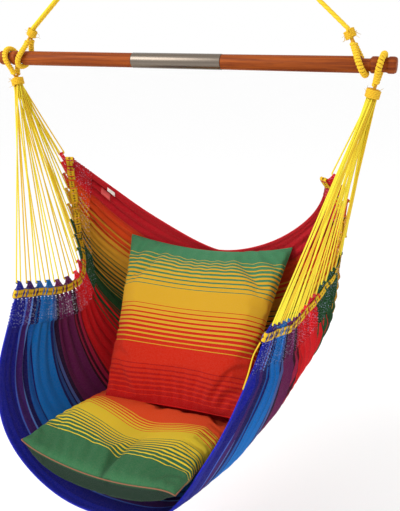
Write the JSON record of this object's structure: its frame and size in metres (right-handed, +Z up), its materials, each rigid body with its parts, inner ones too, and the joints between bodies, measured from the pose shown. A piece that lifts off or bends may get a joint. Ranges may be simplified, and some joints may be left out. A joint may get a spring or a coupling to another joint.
{
  "type": "hammock chair",
  "caption": "Hanging hammock chair: a striped cloth seat slung by fans of cords from a grooved wooden spreader bar, with a seat cushion and a back cushion.",
  "frame": {"origin": "inner top of the hanging eye, where the hook bears", "axes": "+Z up along the pull of the hook, +X along the spreader bar, and the open front of the seat faces -Y"},
  "size_m": [1, 0.6956, 1.5619],
  "materials": {
    "bar_wood": "reddish-brown hardwood, turned, sanded and oiled, with a soft sheen",
    "sleeve_metal": "satin grey tube with a fine lengthways brushing",
    "cord": "laid yellow cotton cord, matt",
    "striped_cloth": "woven cotton with stripes from side to side: blue at the front hem, then turquoise, purple, crimson, red, green, yellow, orange and red at the top hem",
    "edge_net": "open cotton warp in the stripe colours with pale weft flecks, and rolled tongues",
    "edge_band": null,
    "seat_cover": "woven cotton stripes from green at the front through yellow and orange to red, with a corded seam",
    "back_cover": "woven cotton stripes from green at the top through yellow and orange to red, with a corded seam"
  },
  "bodies": {
    "suspension": {"hanging_eye_core": "cord", "hanging_eye_whipping": "cord", "hanging_eye_binding": "cord", "rope_loop_left_core": "cord", "rope_loop_left_whipping": "cord", "rope_loop_left_binding": "cord", "rope_left_front": "cord", "rope_left_rear": "cord", "rope_loop_right_core": "cord", "rope_loop_right_whipping": "cord", "rope_loop_right_binding": "cord", "rope_right_front": "cord", "rope_right_rear": "cord"},
    "spreader_bar": {"bar_left": "bar_wood", "bar_right": "bar_wood", "bar_sleeve": "sleeve_metal"},
    "hammock": {"cloth": "striped_cloth", "edge_net_left": "edge_net", "edge_band_left": "edge_band", "clew_left_core": "cord", "clew_left_whipping": "cord", "clew_left_binding": "cord", "clew_left_cords": "cord", "edge_net_right": "edge_net", "edge_band_right": "edge_band", "clew_right_core": "cord", "clew_right_whipping": "cord", "clew_right_binding": "cord", "clew_right_cords": "cord"},
    "seat_cushion_body": {"seat_cushion": "seat_cover"},
    "back_cushion_body": {"back_cushion": "back_cover"}
  },
  "joints": [
    {"name": "bar_turn", "type": "hinge", "parent": "suspension", "child": "spreader_bar", "pos_m": [0, 0, -0.487], "axis": [1, 0, 0], "continuous": true},
    {"name": "seat_swing", "type": "hinge", "parent": "suspension", "child": "hammock", "pos_m": [0, 0, -0.487], "axis": [1, 0, 0], "range_deg": [-30, 30]},
    {"name": "seat_cushion_out", "type": "slide", "parent": "hammock", "child": "seat_cushion_body", "axis": [-0.1197, -0.9844, 0.1287], "range_m": [0, 0.5]},
    {"name": "back_cushion_out", "type": "slide", "parent": "hammock", "child": "back_cushion_body", "axis": [0, -0.8, 0.6], "range_m": [0, 0.5]}
  ]
}
